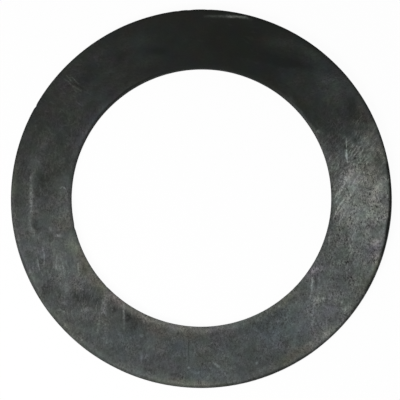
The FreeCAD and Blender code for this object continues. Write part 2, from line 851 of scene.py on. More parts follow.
# Smaller places where it is thicker or wiped thinner, clockwise from the right
BLOTCHES = (
    # The dusty patch at the right
    Patch((54.0, 9.2), (2.0, 1.4), 50.0, 0.25),
    Patch((50.9, 6.0), (2.0, 1.2), 30.0, 0.24),
    Patch((60.5, 12.0), (3.0, 1.4), 70.0, -0.07),
    Patch((57.5, 20.5), (2.6, 1.6), 50.0, 0.08),
    Patch((52.6, 3.4), (2.6, 1.1), 58.0, 0.18),
    Patch((61.6, 3.4), (3.0, 1.6), 60.0, 0.24),
    Patch((59.6, 0.4), (2.4, 0.9), 60.0, 0.14),
    Patch((49.8, -3.5), (1.6, 0.6), 20.0, 0.28),
    Patch((51.4, -0.9), (2.0, 0.9), 58.0, 0.12),
    Patch((60.2, -9.0), (3.0, 1.5), 75.0, 0.1),
    Patch((55.8, 1.0), (2.6, 0.8), 88.0, -0.1),
    Patch((50.2, 17.4), (0.7, 0.5), cover=-0.15),
    Patch((52.0, 16.6), (0.9, 0.5), 40.0, -0.15),
    Patch((54.0, 20.0), (1.6, 0.8), 40.0, -0.12),
    Patch((59.0, 25.0), (1.2, 0.8), 40.0, 0.1),
    Patch((40.4, 22.7), (0.7, 0.5), cover=0.12),
    # The lower right
    Patch((63.4, -9.0), (4.5, 0.8), 80.0, 0.14),
    Patch((60.4, -15.7), (1.9, 1.1), 20.0, 0.26),
    Patch((60.4, -20.4), (2.0, 1.0), 20.0, 0.1),
    Patch((59.2, -24.6), (3.6, 0.8), 62.0, 0.1),
    Patch((50.0, -28.5), (3.0, 1.8), 50.0, -0.06),
    Patch((50.5, -38.6), (2.4, 0.9), 50.0, 0.13),
    Patch((43.0, -47.4), (1.6, 0.8), 45.0, 0.12),
    Patch((37.0, -51.2), (2.2, 0.8), 35.0, 0.1),
    Patch((38.9, -25.6), (1.7, 1.1), 40.0, 0.28),
    Patch((42.0, -25.2), (1.2, 0.9), cover=0.12),
    Patch((39.9, -35.8), (1.2, 0.8), cover=0.34),
    Patch((42.2, -35.3), (0.45, 0.45), cover=0.4),
    Patch((48.5, -36.4), (0.45, 0.45), cover=0.36),
    Patch((46.5, -27.5), (2.4, 1.6), 60.0, -0.08),
    # The bottom
    Patch((30.0, -50.4), (1.6, 1.0), 20.0, -0.09),
    Patch((27.0, -48.0), (9.0, 4.0), 32.0, -0.025),
    Patch((21.0, -43.5), (8.0, 2.2), 20.0, -0.06),
    Patch((22.0, -59.6), (3.0, 1.0), 20.0, 0.06),
    Patch((19.0, -57.6), (0.5, 0.4), cover=0.24),
    Patch((-3.6, -45.4), (0.6, 0.35), cover=0.35),
    Patch((-4.2, -59.2), (0.4, 0.4), cover=0.26),
    Patch((-2.6, -60.8), (1.4, 0.6), -30.0, 0.1),
    Patch((-20.6, -48.2), (0.6, 0.5), cover=0.13),
    Patch((-18.5, -52.0), (1.0, 0.9), cover=0.1),
    Patch((-20.6, -56.0), (0.4, 1.6), cover=0.13),
    Patch((-16.8, -57.0), (1.0, 3.0), cover=-0.05),
    Patch((-24.0, -43.0), (3.4, 5.4), 10.0, -0.09),
    Patch((-26.0, -41.2), (1.6, 1.2), cover=-0.07),
    # The lower left and the left
    Patch((-30.0, -39.2), (1.8, 0.9), cover=-0.09),
    Patch((-35.2, -34.4), (1.2, 2.6), cover=-0.05),
    Patch((-41.0, -35.2), (5.6, 2.4), -8.0, -0.11),
    Patch((-47.1, -36.8), (0.7, 0.6), cover=0.2),
    Patch((-39.6, -39.2), (1.0, 0.5), cover=0.1),
    Patch((-52.8, -31.8), (2.4, 2.2), cover=-0.07),
    Patch((-46.6, -31.6), (1.0, 2.2), cover=0.08),
    Patch((-42.6, -31.2), (1.0, 1.0), cover=0.08),
    Patch((-54.8, -20.3), (0.8, 0.6), cover=0.1),
    Patch((-59.6, -26.4), (0.6, 0.6), cover=0.12),
    Patch((-48.2, -26.0), (6.0, 1.6), 100.0, 0.05),
    Patch((-49.5, -13.2), (1.4, 0.7), -10.0, 0.18),
    Patch((-52.4, -13.2), (1.4, 0.9), cover=-0.07),
    Patch((-44.3, -16.8), (3.2, 1.8), 110.0, 0.14),
    Patch((-57.3, -9.4), (3.0, 0.9), 95.0, -0.07),
    Patch((-55.6, 2.0), (8.0, 1.8), 88.0, -0.04),
    Patch((-56.0, -1.6), (1.6, 1.0), cover=0.07),
    Patch((-51.5, 8.5), (5.0, 3.0), 40.0, -0.03),
    Patch((-57.8, 12.2), (2.4, 1.2), 60.0, 0.045),
    Patch((-54.6, 19.0), (2.8, 1.1), 65.0, 0.05),
    # The upper left, the top and the upper right
    Patch((-39.5, 43.0), (4.5, 2.5), 40.0, -0.02),
    Patch((-36.6, 48.4), (2.5, 1.2), -30.0, 0.02),
    Patch((-23.0, 54.0), (5.0, 2.2), 25.0, 0.02),
    Patch((-19.0, 47.2), (3.4, 1.2), 10.0, 0.014),
    Patch((-15.0, 51.0), (3.0, 1.2), cover=-0.02),
    Patch((-27.5, 49.5), (2.4, 1.4), 40.0, -0.016),
    Patch((10.5, 54.0), (7.0, 4.5), cover=-0.012),
    Patch((31.0, 46.8), (10.0, 1.8), -12.0, -0.035),
    Patch((44.0, 44.0), (1.4, 1.0), 30.0, -0.03),
    Patch((45.0, 39.5), (6.0, 3.0), -50.0, 0.024),
    Patch((52.0, 31.0), (3.4, 2.2), -60.0, -0.02),
    Patch((29.0, 53.6), (6.0, 1.8), -12.0, 0.026),
    Patch((38.0, 50.4), (3.6, 1.2), -38.0, 0.03),
    Patch((31.4, 34.0), (1.8, 0.7), -48.0, 0.05),
)

# Single strokes: where each starts and ends, half its width, and how much paler it is
MARKS = (
    # The long pale crease at the left, and the rubbed band that goes on above it
    Mark((-59.5, 7.2), (-59.4, -6.8), 0.65, 0.18, bow=0.7, broken=0.35),
    Mark((-58.6, 9.0), (-59.5, 5.6), 0.5, 0.11, broken=0.4),
    Mark((-59.4, -6.4), (-58.9, -12.4), 0.6, 0.11, broken=0.5),
    Mark((-59.2, 6.5), (-59.0, -11.0), 1.7, 0.04, bow=0.3, broken=0.4),
    Mark((-59.0, 7.4), (-57.8, 9.8), 0.4, 0.07, broken=0.4),
    Mark((-53.5, 22.0), (-57.7, 9.0), 1.0, 0.03, bow=0.5),
    Mark((-58.8, -10.5), (-57.6, -14.0), 0.6, 0.08, bow=0.2),
    # A short bent stroke beside it, and others near it
    Mark((-49.0, 3.0), (-47.9, 4.1), 0.3, 0.24, broken=0.2),
    Mark((-47.9, 4.1), (-46.7, 2.5), 0.3, 0.26, broken=0.2),
    Mark((-52.5, -10.4), (-51.4, -12.0), 0.35, 0.14, broken=0.3),
    Mark((-55.4, -17.0), (-54.9, -25.0), 0.26, 0.17, bow=0.7, broken=0.4),
    Mark((-56.8, -20.0), (-55.8, -25.8), 0.26, 0.13, bow=-0.3, broken=0.4),
    Mark((-42.7, -22.8), (-42.5, -27.2), 0.3, 0.24, broken=0.3),
    Mark((-50.1, -20.2), (-50.1, -26.0), 0.35, 0.14, broken=0.5),
    Mark((-47.8, -22.6), (-47.5, -26.6), 0.35, 0.11, broken=0.5),
    Mark((-46.8, -22.0), (-46.0, -25.0), 0.35, 0.1, broken=0.5),
    # The rubbed strokes at the lower left
    Mark((-32.6, -33.8), (-34.5, -41.0), 0.75, 0.16, bow=-0.3, broken=0.4),
    Mark((-34.9, -40.4), (-35.8, -47.6), 0.45, 0.15, broken=0.5),
    Mark((-33.4, -38.0), (-32.9, -41.5), 0.45, 0.1, broken=0.4),
    Mark((-33.1, -42.0), (-33.1, -52.0), 0.5, 0.07),
    Mark((-26.7, -36.0), (-26.7, -42.6), 0.35, 0.22, broken=0.4),
    Mark((-26.7, -40.5), (-26.7, -47.5), 0.35, 0.08, broken=0.5),
    Mark((-50.4, -39.6), (-46.8, -40.2), 0.4, 0.13, bow=0.6, broken=0.3),
    # The slanting scratch and the fine dark line at the bottom
    Mark((4.1, -57.4), (6.3, -59.4), 0.5, 0.19, broken=0.4),
    Mark((5.6, -58.8), (9.2, -62.4), 0.35, 0.08),
    Mark((-4.3, -49.0), (-4.4, -58.5), 0.22, -0.07, broken=0.4),
    # The streaks at the lower right
    Mark((38.5, -27.6), (38.2, -33.4), 0.4, 0.36, broken=0.3),
    Mark((38.1, -33.0), (37.4, -36.0), 0.45, 0.2, broken=0.3),
    Mark((38.2, -38.0), (38.4, -48.0), 0.4, 0.11, bow=0.2, broken=0.6),
    Mark((40.4, -27.0), (40.6, -34.0), 0.35, 0.1, broken=0.5),
    Mark((39.5, -27.4), (39.6, -32.6), 0.35, -0.07, broken=0.4),
    Mark((43.8, -13.5), (44.4, -16.8), 0.28, 0.2, broken=0.2),
    # The hairline in the dusty patch at the right, with strokes that fan out beside it
    Mark((50.4, 20.6), (50.8, 11.8), 0.17, 0.5, bow=-0.3, broken=0.45),
    Mark((50.1, 16.0), (50.8, 11.8), 0.28, 0.4, broken=0.3),
    Mark((49.7, 16.6), (50.2, 13.2), 0.2, 0.3, broken=0.4),
    Mark((50.6, 12.1), (51.9, 12.5), 0.25, 0.4, broken=0.3),
    Mark((50.8, 14.6), (53.6, 18.3), 0.22, 0.34, bow=0.2, broken=0.6),
    Mark((51.7, 14.1), (54.3, 17.7), 0.2, 0.3, bow=0.1, broken=0.6),
    Mark((52.1, 13.2), (54.0, 15.7), 0.22, 0.26, broken=0.5),
    Mark((51.5, 16.7), (53.0, 18.7), 0.2, 0.3, broken=0.5),
    Mark((52.3, 12.7), (54.0, 15.0), 0.35, -0.22, bow=-0.4, broken=0.5),
    Mark((54.6, 14.2), (57.2, 17.6), 0.22, 0.2, broken=0.7),
    Mark((56.0, 16.5), (58.6, 20.6), 0.25, 0.16, broken=0.7),
    # Longer strokes that cross the patch
    Mark((49.2, 4.8), (53.6, 12.2), 0.22, 0.32, bow=0.6, broken=0.5),
    Mark((55.2, 10.8), (57.8, 14.6), 0.22, 0.26, broken=0.5),
    Mark((54.0, 11.4), (55.6, 13.4), 0.22, 0.22, broken=0.5),
    Mark((55.8, 9.8), (58.8, 13.6), 0.2, 0.18, broken=0.6),
    Mark((54.6, 10.4), (56.8, 13.6), 0.3, -0.16, broken=0.6),
    Mark((56.0, 6.6), (56.1, 3.8), 0.22, 0.3, broken=0.4),
    Mark((56.7, 7.2), (56.8, 5.2), 0.2, 0.22, broken=0.4),
    Mark((46.6, -0.6), (50.4, 6.2), 0.26, 0.4, bow=-0.3, broken=0.6),
    Mark((50.2, 5.4), (52.0, 9.4), 0.24, 0.34, broken=0.4),
    Mark((51.7, 3.0), (53.7, 6.4), 0.24, 0.3, broken=0.5),
    Mark((45.6, -0.8), (48.4, 2.4), 0.2, 0.32, broken=0.4),
    Mark((46.7, -6.4), (49.6, -2.6), 0.22, 0.34, broken=0.4),
    Mark((46.2, -5.9), (49.2, -0.9), 0.24, 0.38, broken=0.4),
    Mark((45.4, -7.6), (47.6, -4.0), 0.24, 0.34, broken=0.4),
    Mark((47.6, -3.4), (50.8, 0.6), 0.28, 0.42, broken=0.5),
    Mark((50.4, -1.6), (53.0, 2.8), 0.28, 0.3, broken=0.7),
    Mark((45.8, -3.0), (47.8, 0.2), 0.22, 0.28, broken=0.5),
    Mark((46.4, 0.6), (49.8, 4.6), 0.25, 0.34, broken=0.6),
    Mark((50.6, -1.8), (54.6, 4.8), 0.25, 0.26, broken=0.7),
    Mark((47.2, -9.4), (49.8, -5.2), 0.25, 0.26, broken=0.6),
    Mark((57.2, -0.6), (62.4, -0.7), 0.2, 0.3, broken=0.3),
    Mark((60.0, 1.6), (62.6, 6.2), 0.3, 0.2, broken=0.5),
    Mark((53.0, 24.3), (56.0, 28.7), 0.22, 0.13, broken=0.4),
    Mark((54.0, 24.6), (56.2, 27.6), 0.2, 0.1, broken=0.5),
    # The smear along the top
    Mark((0.6, 63.3), (18.0, 62.2), 0.45, 0.10, bow=0.4, broken=0.2),
    Mark((8.6, 63.4), (16.4, 62.7), 0.4, 0.26, bow=0.1, broken=0.2),
    # The strokes at the upper left
    Mark((-47.2, 43.1), (-44.9, 40.3), 0.18, 0.07, broken=0.2),
    Mark((-46.0, 42.9), (-42.4, 39.6), 0.18, 0.09, broken=0.2),
    Mark((-48.6, 42.0), (-44.4, 39.2), 0.18, 0.06, broken=0.3),
    Mark((-46.4, 40.4), (-41.5, 37.0), 0.25, 0.07, broken=0.3),
    Mark((-44.6, 40.4), (-40.6, 37.6), 0.2, -0.03, broken=0.3),
    Mark((-43.8, 33.7), (-41.2, 31.8), 0.2, 0.08, broken=0.2),
)

# Areas of fine scratches, of thin wandering hairlines and of small specks
STREAKS = (
    Streaks(Patch((54.5, 13.0), (12.0, 10.0), 70.0, 0.2), bearing=52.0, length=3.0, pitch=0.6, share=0.85),
    Streaks(Patch((50.5, 0.5), (9.0, 5.5), 65.0, 0.24), bearing=57.0, length=5.0, pitch=0.6, share=0.6),
    Streaks(Patch((50.0, -24.0), (18.0, 12.0), 65.0, 0.12), bearing=80.0, length=2.4, pitch=0.6, share=0.6),
    Streaks(Patch((-45.0, -31.0), (22.0, 11.0), -50.0, 0.1), bearing=90.0, length=2.2, pitch=0.5, share=0.7),
    Streaks(Patch((-49.0, 34.0), (16.0, 9.0), 55.0, 0.045), bearing=-35.0, length=4.0, pitch=0.6, share=0.6),
    Streaks(Patch((20.0, 52.0), (20.0, 8.0), -20.0, 0.012), bearing=-8.0, length=6.0, pitch=1.0, share=0.7),
)

WEBS = (
    Web(Patch((56.0, 4.0), (16.0, 13.0), 80.0, 0.16), size=3.0, width=0.4),
    Web(Patch((0.0, -34.0), (80.0, 34.0), 0.0, 0.07), size=3.4, width=0.35),
    Web(Patch((-50.0, 6.0), (14.0, 30.0), 0.0, 0.055), size=3.0, width=0.32),
)

GRIT = (
    Grit(Patch((0.0, -34.0), (70.0, 40.0), 0.0, 0.16), spacing=2.6, size=0.45, share=0.22),
    Grit(Patch((20.0, -50.0), (50.0, 25.0), 20.0, -0.1), spacing=2.9, size=0.5, share=0.25),
    Grit(Patch((56.0, 2.0), (16.0, 12.0), 80.0, 0.3), spacing=1.7, size=0.45, share=0.35),
)

# Stretches of the two edges: the middle's bearing, half the length, the width, and how much dust it adds.
# Below 0 the edge is painted darker; those marked below are painted shade.
RIM_WEAR_AND_SHADE = (
    RimWearAndShade(Wall.RIM, -96.0, 22.0, 3.4, 0.1),
    RimWearAndShade(Wall.RIM, -140.0, 30.0, 2.6, 0.08),
    RimWearAndShade(Wall.RIM, -50.0, 12.0, 4.2, 0.08),
    RimWearAndShade(Wall.RIM, 180.0, 10.0, 2.2, 0.09),
    RimWearAndShade(Wall.RIM, 130.0, 26.0, 2.0, 0.012),
    RimWearAndShade(Wall.RIM, 24.0, 14.0, 4.0, 0.06),
    # Painted shade: the outer edge at the right, which turns away from the lamp.
    RimWearAndShade(Wall.RIM, -6.0, 22.0, 1.6, -0.5),
    # Painted shade: a thin dark line along the outer edge at the lower right.
    RimWearAndShade(Wall.RIM, -64.0, 34.0, 0.8, -0.1),
    RimWearAndShade(Wall.BORE, -95.0, 58.0, 0.9, 0.3),
    # Painted shade: the bore's far edge.
    RimWearAndShade(Wall.BORE, 95.0, 40.0, 1.0, -0.2),
    RimWearAndShade(Wall.BORE, -75.0, 22.0, 3.0, 0.1),
    RimWearAndShade(Wall.BORE, -112.0, 18.0, 3.0, 0.18),
    RimWearAndShade(Wall.BORE, -140.0, 14.0, 2.6, 0.08),
    RimWearAndShade(Wall.BORE, 150.0, 18.0, 3.2, 0.06),
    RimWearAndShade(Wall.BORE, 36.0, 18.0, 1.1, 0.19),
    RimWearAndShade(Wall.BORE, 17.0, 9.0, 4.5, 0.12),
    RimWearAndShade(Wall.BORE, -1.0, 12.0, 3.2, -0.12),
)

# Soft colour casts: the middle, half the length and half the width, the bearing of the length, the strength
TINTS = (
    # The right
    Tint(Cast.OLIVE, (57.0, 4.0), (20.0, 13.0), 80.0, 0.45),
    Tint(Cast.UMBER, (60.6, 11.0), (6.0, 2.6), 75.0, 0.9),
    Tint(Cast.OLIVE, (54.2, 9.2), (3.0, 2.0), 50.0, 0.5),
    Tint(Cast.UMBER, (61.6, 3.4), (4.0, 2.2), 60.0, 0.3),
    Tint(Cast.UMBER, (60.4, -15.6), (2.6, 1.6), 20.0, 1.6),
    Tint(Cast.LILAC, (51.0, 6.0), (3.2, 1.8), 30.0, 2.6),
    Tint(Cast.MOSS, (50.0, -21.0), (6.0, 5.0), 60.0, 0.5),
    Tint(Cast.OLIVE, (61.0, -26.0), (6.0, 2.0), 65.0, 1.5),
    Tint(Cast.OLIVE, (55.5, -32.0), (5.0, 2.0), 50.0),
    Tint(Cast.LILAC, (60.2, -17.2), (4.0, 2.4), 40.0, 1.4),
    Tint(Cast.LILAC, (42.0, -41.0), (5.0, 3.0), 40.0),
    Tint(Cast.LILAC, (40.0, -25.8), (4.2, 1.8), 20.0, 2.2),
    # The bottom
    Tint(Cast.OLIVE, (25.0, -38.3), (7.0, 1.6), 33.0, 2.0),
    Tint(Cast.OLIVE, (32.0, -55.0), (6.0, 2.0), 30.0),
    Tint(Cast.SLATE, (27.5, -47.5), (12.0, 6.0), 32.0, 1.1),
    Tint(Cast.LILAC, (9.4, -47.0), (2.6, 1.8), 0.0, 0.6),
    Tint(Cast.SLATE, (6.0, -50.0), (6.0, 4.0), 0.0, 0.8),
    Tint(Cast.SLATE, (23.0, -42.5), (8.0, 3.0), 24.0, 1.0),
    Tint(Cast.UMBER, (34.0, -53.6), (13.0, 2.0), 34.0, 0.8),
    Tint(Cast.UMBER, (-8.0, -46.6), (16.0, 2.6), -6.0, 1.5),
    Tint(Cast.UMBER, (-20.0, -41.5), (6.0, 2.2), -26.0, 1.0),
    Tint(Cast.SLATE, (-8.3, -51.2), (4.0, 4.0)),
    Tint(Cast.LILAC, (-14.0, -58.0), (9.0, 3.5), -10.0),
    Tint(Cast.SLATE, (2.0, -61.0), (9.0, 2.2)),
    Tint(Cast.OLIVE, (-6.0, -64.8), (18.0, 1.4), -4.0, 2.4),
    Tint(Cast.SLATE, (-26.0, -52.0), (7.0, 5.0), -30.0, 0.8),
    # The lower left and the left
    Tint(Cast.SLATE, (-22.0, -46.0), (4.0, 4.0)),
    Tint(Cast.UMBER, (-30.0, -35.2), (9.0, 2.6), -42.0, 1.4),
    Tint(Cast.OLIVE, (-48.0, -43.5), (7.0, 2.0), -42.0, 0.8),
    Tint(Cast.LILAC, (-33.4, -36.6), (4.0, 1.4), 75.0, 0.4),
    Tint(Cast.OLIVE, (-42.4, -19.6), (7.5, 2.4), 116.0, 0.8),
    Tint(Cast.UMBER, (-38.5, -25.5), (9.0, 2.2), -56.0, 0.6),
    Tint(Cast.OLIVE, (-37.6, -26.8), (7.0, 1.8), -56.0, 0.6),
    Tint(Cast.LILAC, (-54.0, -21.0), (4.0, 3.0), 110.0, 0.6),
    Tint(Cast.LILAC, (-62.0, -16.0), (4.0, 2.4), 100.0),
    Tint(Cast.UMBER, (-47.6, -10.5), (3.0, 2.4)),
    Tint(Cast.OLIVE, (-64.6, 6.0), (9.0, 1.4), 90.0),
    Tint(Cast.OLIVE, (-50.0, 10.0), (6.0, 4.5), 60.0, 0.8),
    # The upper left
    Tint(Cast.UMBER, (-52.0, 31.0), (14.0, 5.0), 60.0, 0.8),
    Tint(Cast.MOSS, (-46.0, 27.0), (11.0, 4.0), 60.0, 0.8),
    Tint(Cast.LILAC, (-41.0, 23.0), (11.0, 2.2), 62.0, 1.2),
    Tint(Cast.SLATE, (-36.5, 28.5), (4.5, 3.0), 55.0),
    Tint(Cast.LILAC, (-33.5, 37.0), (4.0, 2.2), 80.0),
    Tint(Cast.MOSS, (-14.0, 56.0), (7.0, 4.0)),
    # The top and the upper right
    Tint(Cast.SLATE, (-9.0, 50.5), (9.0, 3.0), 0.0, 0.9),
    Tint(Cast.UMBER, (-9.0, 63.5), (12.0, 2.5), 6.0),
    Tint(Cast.OLIVE, (8.0, 54.0), (16.0, 9.0), 0.0, 0.8),
    Tint(Cast.UMBER, (23.0, 55.5), (3.6, 0.9)),
    Tint(Cast.MOSS, (29.5, 53.0), (6.0, 2.4), -12.0, 1.4),
    Tint(Cast.SLATE, (26.0, 46.5), (9.0, 4.0), -10.0),
    Tint(Cast.UMBER, (57.0, 28.5), (9.0, 2.2), -66.0),
    Tint(Cast.OLIVE, (35.4, 32.4), (4.0, 1.8), -50.0),
    Tint(Cast.MOSS, (51.5, 30.6), (2.6, 2.6)),
    Tint(Cast.SLATE, (43.0, 41.0), (9.0, 6.0), -45.0, 0.6),
)

# Where the grain shows more strongly
COARSE = Patch((56.0, -8.0), (44.0, 22.0), 78.0, 0.55)

CREASE = Crease(start=(-59.0, 7.0), end=(-59.2, -9.0), bow=-0.1, depth=0.07, width=0.8)

NICKS = (
    Nick(Wall.RIM, bearing=88.0, depth=0.08, width=0.8),
    Nick(Wall.RIM, bearing=93.5, depth=0.12, width=0.9),
    Nick(Wall.RIM, bearing=97.0, depth=0.08, width=0.6),
    Nick(Wall.RIM, bearing=151.0, depth=0.2, width=0.6),
    Nick(Wall.BORE, bearing=193.0, depth=0.16, width=0.9),
    Nick(Wall.BORE, bearing=223.5, depth=0.08, width=0.6),
)

SLANTS = (
    Slant(Wall.RIM, bearing=-8.0, spread=32.0, depth=0.32, pivot=0.4),
    Slant(Wall.RIM, bearing=145.0, spread=45.0, depth=0.2, pivot=0.4),
    Slant(Wall.BORE, bearing=145.0, spread=45.0, depth=0.3, pivot=0.1),
)


class Finish(ABC):
    """A finish of the ring: one material with its own shader."""

    title: ClassVar[str]

    @abstractmethod
    def dress(self, graph: Graph, shader: Node, place: NodeSocket) -> None:
        """Wires the finish.

        Args:
            graph: the material's tree.
            shader: the Principled BSDF.
            place: the surface's own coordinates, in millimetres.
        """

    def material(self) -> Material:
        """Makes the material.

        Returns:
            The finished material.
        """
        made = bpy.data.materials.new(self.title)
        made.use_nodes = True
        graph = Graph(made.node_tree)
        shader = made.node_tree.nodes["Principled BSDF"]
        coordinates = graph.node("TexCoord").outputs["Object"]
        self.dress(graph, shader, graph.vector("SCALE", coordinates, 1.0 / MM))
        return made

    @staticmethod
    def relief(graph: Graph, shader: Node, height: NodeSocket, depth: float) -> None:
        """Puts a fine relief on the surface.

        Args:
            graph: the material's tree.
            shader: the Principled BSDF.
            height: the relief, from 0 to 1.
            depth: what a height of 1 stands for, in millimetres.
        """
        bump = graph.node("Bump")
        bump.inputs["Strength"].default_value = 1.0
        bump.inputs["Distance"].default_value = depth * MM
        graph.feed(bump.inputs["Height"], height)
        graph.feed(shader.inputs["Normal"], bump.outputs["Normal"])


@dataclass(frozen=True)
class WornShadedFace(Finish):
    """The top face: black rubber under dust, with scuffs, hairlines, specks and worn edges, and painted
    light and shade.

    Attributes:
        bore_radius: the bore's radius.
        rim_radius: the outer edge's radius.
        far_film_and_light: the film's share at the ring's far side.
        near_film_and_light: its share at the near side. The film is partly dust and partly painted light:
            the face is painted paler towards the near side, as if more light and sheen fell there.
        grain_size: about how big the grain's forms are.
        grain_depth: how deep the grain's pits are.
        gloss: the rubber's shine, as a share of plain plastic's.
        edge_shade_width: how far in from an edge the band of painted shade reaches, where the dust is
            thinner.
        edge_shade_share: how much of the dust is taken away at the edge, which paints it darker as shade.
        wander: how strongly the marks' outlines are bent.
    """

    title = "worn_shaded_rubber_face"
    bore_radius: float
    rim_radius: float
    far_film_and_light: float = 0.005
    near_film_and_light: float = 0.142
    grain_size: float = 0.8
    grain_depth: float = 0.03
    gloss: float = 0.12
    edge_shade_width: float = 1.0
    edge_shade_share: float = 0.5
    wander: float = 1.5

    # The places along Y between which something changes, with its values at both where it has its own
    # Painted light as well as dust: the film thickens towards the near side, which paints the face paler
    # there.
    FILM_AND_LIGHT_FROM: ClassVar[Spot] = (36.0, -30.0)
    DRAWN_FROM: ClassVar[Spot] = (26.0, 42.0)
    GRAIN_SWING: ClassVar[tuple[float, ...]] = (20.0, -25.0, 1.05, 1.25)
    HUE_SWING: ClassVar[tuple[float, ...]] = (10.0, 40.0, 0.22, 0.4)
    # What the grain's coordinates are multiplied by at the near side, and at the far side
    STRETCHES: ClassVar[tuple[tuple[float, float, float], ...]] = ((1.25, 0.75, 1.0), (0.6, 1.2, 1.0))
    # What cloudiness leaves of the dust and of the grain at least, and how much more it may leave
    CLOUDY_DUST: ClassVar[Spot] = (0.6, 0.8)
    CLOUDY_GRAIN: ClassVar[Spot] = (0.45, 1.1)
    # The sizes of the dust's blotches, and that of the grain's
    DUST_CLOUDS: ClassVar[Spot] = (8.0, 3.0)
    GRAIN_CLOUDS: ClassVar[float] = 5.0
    # The scales of the noises that bend the marks, speckle them and tint the rubber
    BEND_SCALE: ClassVar[float] = 0.16
    SPECKLE_SCALE: ClassVar[float] = 1.3
    HUE_SCALE: ClassVar[float] = 0.2
    # The shares of dust between which the surface gets rougher, and its roughness at both
    ROUGHER: ClassVar[tuple[float, ...]] = (0.0, 0.4, 0.7, 0.85)

    def shaded_edges(self, face: Surface, cover: NodeSocket) -> NodeSocket:
        """The cover thinned along the ring's two edges, which paints them darker as shade.

        Args:
            face: what the marks are laid out on.
            cover: the share of dust before that.

        Returns:
            The share that is left.
        """
        graph = face.graph
        for radius in (self.bore_radius, self.rim_radius):
            band = EdgeBand().place(
                graph, position=face.place, radius=radius, width=self.edge_shade_width, rag=face.rag
            )
            cover = graph.math("MULTIPLY", cover, graph.math("MULTIPLY_ADD", band, -self.edge_shade_share, 1.0))
        return cover

    def dust(self, face: Surface, grain: NodeSocket, lively: NodeSocket) -> NodeSocket:
        """How much of the rubber the dust hides, from 0 to 1, with painted light and shade in it.

        Args:
            face: what the marks are laid out on.
            grain: the sheet's grain.
            lively: how strongly the grain shows at each place, about 1.

        Returns:
            The cover's socket.
        """
        graph = face.graph
        radii = {Wall.BORE: self.bore_radius, Wall.RIM: self.rim_radius}
        northing = graph.northing(face.place)
        # Partly painted light: the film grows towards the near side, so the face is paler there.
        film = graph.ramp(northing, *self.FILM_AND_LIGHT_FROM, self.far_film_and_light, self.near_film_and_light)
        lying = graph.total(film, (patch.mask(face) for patch in DUST))
        least, more = self.CLOUDY_DUST
        cloudy = graph.math("MULTIPLY", lying, graph.math("MULTIPLY_ADD", face.cloud, more, least))
        # Edge stretches rubbed pale, and painted shade where their cover is below 0.
        worn = graph.total(cloudy, (rim.mask(face, radii) for rim in RIM_WEAR_AND_SHADE))
        marks = (*BLOTCHES, *MARKS, *STREAKS, *WEBS, *GRIT)
        worn = graph.total(worn, (mark.mask(face) for mark in marks))
        # Painted shade: both edges are darkened by thinning the dust along them.
        worn = self.shaded_edges(face, worn)
        swing = graph.math("ADD", COARSE.mask(face), graph.ramp(northing, *self.GRAIN_SWING))
        swing = graph.math("MULTIPLY", swing, lively)
        grained = graph.math("MULTIPLY_ADD", graph.math("SUBTRACT", grain, 0.5), swing, 1.0)
        return graph.limit(graph.math("MULTIPLY", worn, grained))

    def drawn_grain(self, graph: Graph, place: NodeSocket) -> NodeSocket:
        """The sheet's grain, drawn out along X at the ring's far side and along Y elsewhere.

        Args:
            graph: the material's tree.
            place: the face's coordinates.

        Returns:
            The grain's socket, from 0 to 1.
        """
        far = graph.ramp(graph.northing(place), *self.DRAWN_FROM)
        grains = []
        for stretch in self.STRETCHES:
            drawn = graph.vector("MULTIPLY", place, stretch)
            grains.append(SheetGrain().place(graph, position=drawn, size=self.grain_size))
        change = graph.math("SUBTRACT", grains[1], grains[0])
        return graph.math("MULTIPLY_ADD", change, far, grains[0])

    def dress(self, graph: Graph, shader: Node, place: NodeSocket) -> None:
        """Dust over black rubber, with painted light and shade in it, rougher where the dust is thick."""
        wander = graph.noise(place, self.BEND_SCALE, detail=4.0, roughness=0.6)
        bend = graph.about_zero(wander.outputs["Color"], self.wander)
        speckle = graph.noise(place, self.SPECKLE_SCALE, detail=2.0, roughness=0.7).outputs[0]
        wide, small = (Clouds().place(graph, position=place, size=size) for size in self.DUST_CLOUDS)
        face = Surface(
            graph,
            place=graph.vector("ADD", place, bend),
            rag=graph.math("SUBTRACT", wander.outputs[0], 0.5),
            speckle=graph.ramp(speckle, 0.35, 0.65),
            cloud=graph.math("MULTIPLY_ADD", wide, 0.5, graph.math("MULTIPLY", small, 0.5)),
        )
        grain = self.drawn_grain(graph, place)
        least, more = self.CLOUDY_GRAIN
        blotches = Clouds().place(graph, position=place, size=self.GRAIN_CLOUDS)
        lively = graph.math("MULTIPLY_ADD", blotches, more, least)
        cover = self.dust(face, grain, lively)
        # The cover holds painted light and shade as well as dust, and the grey paints them.
        colour = graph.mix(cover, RUBBER_BLACK, DUST_GREY)
        for tint in TINTS:
            colour = tint.over(face, colour)
        hue = graph.noise(place, self.HUE_SCALE, detail=1.0).outputs["Color"]
        swing = graph.ramp(graph.northing(place), *self.HUE_SWING)
        lit = graph.about_zero(hue, swing)
        lit = graph.vector("ADD", lit, (1.0, 1.0, 1.0))
        graph.feed(shader.inputs["Base Color"], graph.mix(1.0, colour, lit, "MULTIPLY"))
        graph.feed(shader.inputs["Roughness"], graph.ramp(cover, *self.ROUGHER))
        shader.inputs["Specular IOR Level"].default_value = self.gloss
        self.relief(graph, shader, grain, self.grain_depth)


